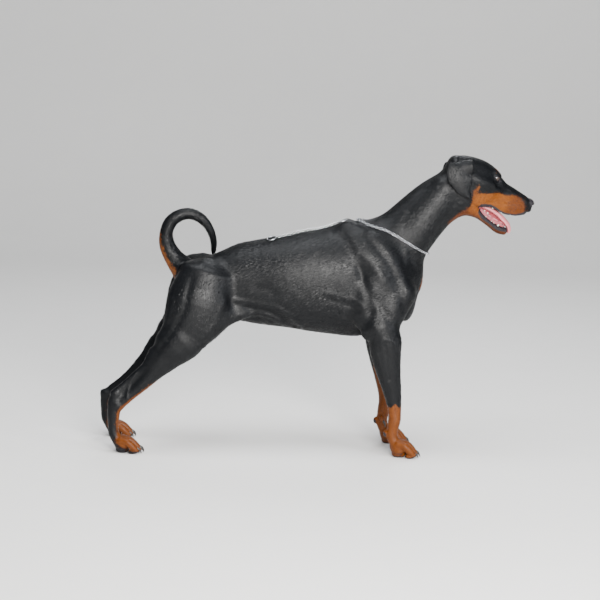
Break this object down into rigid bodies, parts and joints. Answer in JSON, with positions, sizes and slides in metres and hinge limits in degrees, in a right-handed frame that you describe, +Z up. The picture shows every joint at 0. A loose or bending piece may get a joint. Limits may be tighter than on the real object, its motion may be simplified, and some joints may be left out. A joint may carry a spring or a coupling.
{
  "type": "doberman pinscher",
  "caption": "Life-size still model of a slender short-coated black and rust dog standing with its mouth open, wearing a steel chain collar; rests on its paws.",
  "frame": {"origin": "centre of the bounding box on the floor between the paws", "axes": "+X towards the head, +Y towards the dog's left side, +Z up"},
  "size_m": [1.2198, 0.2558, 0.8483],
  "materials": {
    "coat_black": "short glossy black coat",
    "coat_rust": "short glossy rust coat",
    "claw": "dark horn, satin",
    "eye": "wet dark brown",
    "nose": "moist pebbled black skin",
    "tongue": "moist pink",
    "steel": "polished welded chain"
  },
  "bodies": {
    "root": {"belly": "coat_black", "chest": "coat_black", "neck": "coat_black", "pelvis": "coat_black", "head": "coat_black", "ear_left": "coat_black", "ear_right": "coat_black", "tail_base": "coat_black", "tail_middle": "coat_black", "tail_tip": "coat_black", "forearm_left": "coat_black", "forearm_right": "coat_black", "thigh_left": "coat_black", "thigh_right": "coat_black", "shank_left": "coat_black", "shank_right": "coat_black", "metatarsus_left": "coat_black", "metatarsus_right": "coat_black", "lower_jaw": "coat_rust", "front_paw_left": "coat_rust", "front_paw_right": "coat_rust", "hind_paw_left": "coat_rust", "hind_paw_right": "coat_rust", "claw_front_left_1": "claw", "claw_front_left_2": "claw", "claw_front_left_3": "claw", "claw_front_left_4": "claw", "claw_front_right_1": "claw", "claw_front_right_2": "claw", "claw_front_right_3": "claw", "claw_front_right_4": "claw", "claw_hind_left_1": "claw", "claw_hind_left_2": "claw", "claw_hind_left_3": "claw", "claw_hind_left_4": "claw", "claw_hind_right_1": "claw", "claw_hind_right_2": "claw", "claw_hind_right_3": "claw", "claw_hind_right_4": "claw", "dewclaw_left": "claw", "dewclaw_right": "claw", "eye_left": "eye", "eye_right": "eye", "nose": "nose", "tongue": "tongue", "collar_loop": "steel", "collar_ring": "steel", "collar_end": "steel", "end_ring": "steel"}
  },
  "joints": []
}
